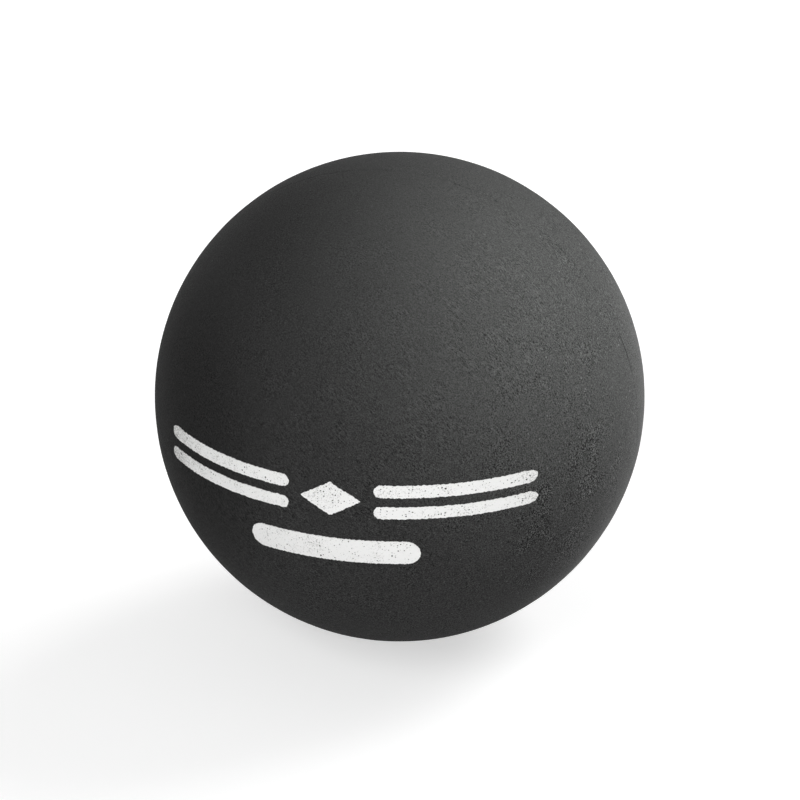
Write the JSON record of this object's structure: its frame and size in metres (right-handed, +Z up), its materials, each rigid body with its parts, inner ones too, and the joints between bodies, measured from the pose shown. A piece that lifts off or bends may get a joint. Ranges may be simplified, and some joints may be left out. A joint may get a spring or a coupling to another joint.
{
  "type": "squash ball",
  "caption": "Small hollow ball of matt dark grey rubber: two half shells cemented at a fine seam, with white printed marks and yellow speed dots.",
  "frame": {"origin": "centre of the ball", "axes": "+Y from the printed front pole through the centre to the rear pole with the speed dots, +Z up along the print's height, +X to the right of the print; the seam lies in the XZ plane"},
  "size_m": [0.04, 0.04, 0.04],
  "materials": {
    "ball_rubber": "buffed matt",
    "seam_cement": "matt, cured flush and buffed",
    "white_ink": "thin pad-printed ink with pinholes",
    "yellow_ink": "thin pad-printed ink with pinholes"
  },
  "bodies": {
    "root": {"front_half_shell": "ball_rubber", "rear_half_shell": "ball_rubber", "seam_cement": "seam_cement", "print_line_upper_left": "white_ink", "print_line_upper_right": "white_ink", "print_line_lower_left": "white_ink", "print_line_lower_right": "white_ink", "print_lozenge": "white_ink", "print_short_bar": "white_ink", "speed_dot_first": "yellow_ink", "speed_dot_second": "yellow_ink"}
  },
  "joints": []
}
